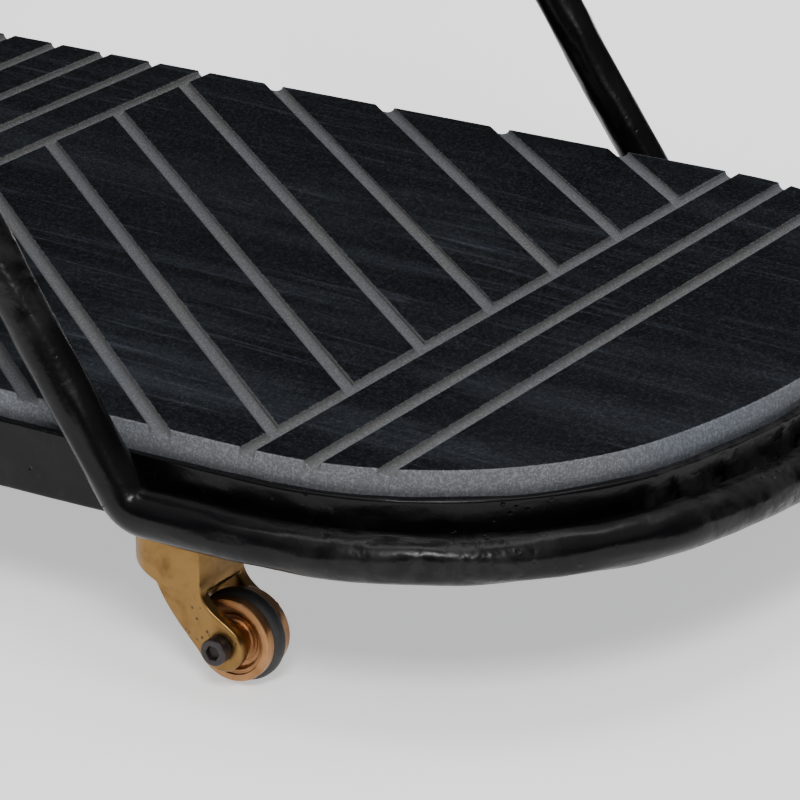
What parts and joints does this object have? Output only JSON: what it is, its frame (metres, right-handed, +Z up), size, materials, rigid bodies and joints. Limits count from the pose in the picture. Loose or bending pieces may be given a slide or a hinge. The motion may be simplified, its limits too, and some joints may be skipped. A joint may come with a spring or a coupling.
{
  "type": "bar cart",
  "caption": "Bar cart with long stone shelves in a welded round-bar frame with crossed legs, rolling on small swivel casters.",
  "frame": {"origin": "on the floor, under the middle of the cart", "axes": "+Z up, +X along the cart toward the right-hand end, -Y toward the front long side"},
  "size_m": [0.9464, 0.4064, 0.914],
  "materials": {
    "stone": "honed black marble, sawn rim",
    "frame_black": "hammered semi-gloss black",
    "pad": "soft matt",
    "caster_brass": "aged satin brass",
    "hub_bronze": "turned bronze",
    "tyre": "matt black",
    "black_screw": "black oxide",
    "steel": "zinc"
  },
  "bodies": {
    "frame": {"apron_lower_back": "frame_black", "apron_lower_front": "frame_black", "apron_lower_left": "frame_black", "apron_lower_right": "frame_black", "apron_upper_back": "frame_black", "apron_upper_front": "frame_black", "apron_upper_left": "frame_black", "apron_upper_right": "frame_black", "bow_lower_left": "frame_black", "bow_lower_right": "frame_black", "bow_upper_left": "frame_black", "bow_upper_right": "frame_black", "caster_plate_back_left": "frame_black", "caster_plate_back_right": "frame_black", "caster_plate_front_left": "frame_black", "caster_plate_front_right": "frame_black", "crossbar_lower_left": "frame_black", "crossbar_lower_middle": "frame_black", "crossbar_lower_right": "frame_black", "crossbar_upper_left": "frame_black", "crossbar_upper_middle": "frame_black", "crossbar_upper_right": "frame_black", "leg_back_a": "frame_black", "leg_back_b_lower": "frame_black", "leg_back_b_upper": "frame_black", "leg_front_a": "frame_black", "leg_front_b_lower": "frame_black", "leg_front_b_upper": "frame_black", "slab_lower": "stone", "slab_pads_lower": "pad", "slab_pads_upper": "pad", "slab_upper": "stone", "swivel_bolts": "steel", "swivel_lock_nuts": "steel", "thrust_washers": "steel"},
    "swivel_front_right": {"fork_front_right": "caster_brass", "axle_bolt_front_right": "black_screw", "axle_nut_front_right": "black_screw", "axle_sleeve_front_right": "steel"},
    "wheel_front_right": {"hub_front_right": "hub_bronze", "tyre_front_right": "tyre"},
    "swivel_front_left": {"fork_front_left": "caster_brass", "axle_bolt_front_left": "black_screw", "axle_nut_front_left": "black_screw", "axle_sleeve_front_left": "steel"},
    "wheel_front_left": {"hub_front_left": "hub_bronze", "tyre_front_left": "tyre"},
    "swivel_back_right": {"fork_back_right": "caster_brass", "axle_bolt_back_right": "black_screw", "axle_nut_back_right": "black_screw", "axle_sleeve_back_right": "steel"},
    "wheel_back_right": {"hub_back_right": "hub_bronze", "tyre_back_right": "tyre"},
    "swivel_back_left": {"fork_back_left": "caster_brass", "axle_bolt_back_left": "black_screw", "axle_nut_back_left": "black_screw", "axle_sleeve_back_left": "steel"},
    "wheel_back_left": {"hub_back_left": "hub_bronze", "tyre_back_left": "tyre"}
  },
  "joints": [
    {"name": "swivel_front_right", "type": "hinge", "parent": "frame", "child": "swivel_front_right", "pos_m": [0.28441, -0.1711, 0.0554], "axis": [0, 0, 1], "continuous": true},
    {"name": "roll_front_right", "type": "hinge", "parent": "swivel_front_right", "child": "wheel_front_right", "pos_m": [0.30819, -0.17027, 0.0174], "axis": [-0.0349, 0.9994, 0], "continuous": true},
    {"name": "swivel_front_left", "type": "hinge", "parent": "frame", "child": "swivel_front_left", "pos_m": [-0.28441, -0.1711, 0.0554], "axis": [0, 0, 1], "continuous": true},
    {"name": "roll_front_left", "type": "hinge", "parent": "swivel_front_left", "child": "wheel_front_left", "pos_m": [-0.2606, -0.1711, 0.0174], "axis": [0, 1, 0], "continuous": true},
    {"name": "swivel_back_right", "type": "hinge", "parent": "frame", "child": "swivel_back_right", "pos_m": [0.28441, 0.1711, 0.0554], "axis": [0, 0, 1], "continuous": true},
    {"name": "roll_back_right", "type": "hinge", "parent": "swivel_back_right", "child": "wheel_back_right", "pos_m": [0.30821, 0.1711, 0.0174], "axis": [0, 1, 0], "continuous": true},
    {"name": "swivel_back_left", "type": "hinge", "parent": "frame", "child": "swivel_back_left", "pos_m": [-0.28441, 0.1711, 0.0554], "axis": [0, 0, 1], "continuous": true},
    {"name": "roll_back_left", "type": "hinge", "parent": "swivel_back_left", "child": "wheel_back_left", "pos_m": [-0.2606, 0.1711, 0.0174], "axis": [0, 1, 0], "continuous": true}
  ]
}
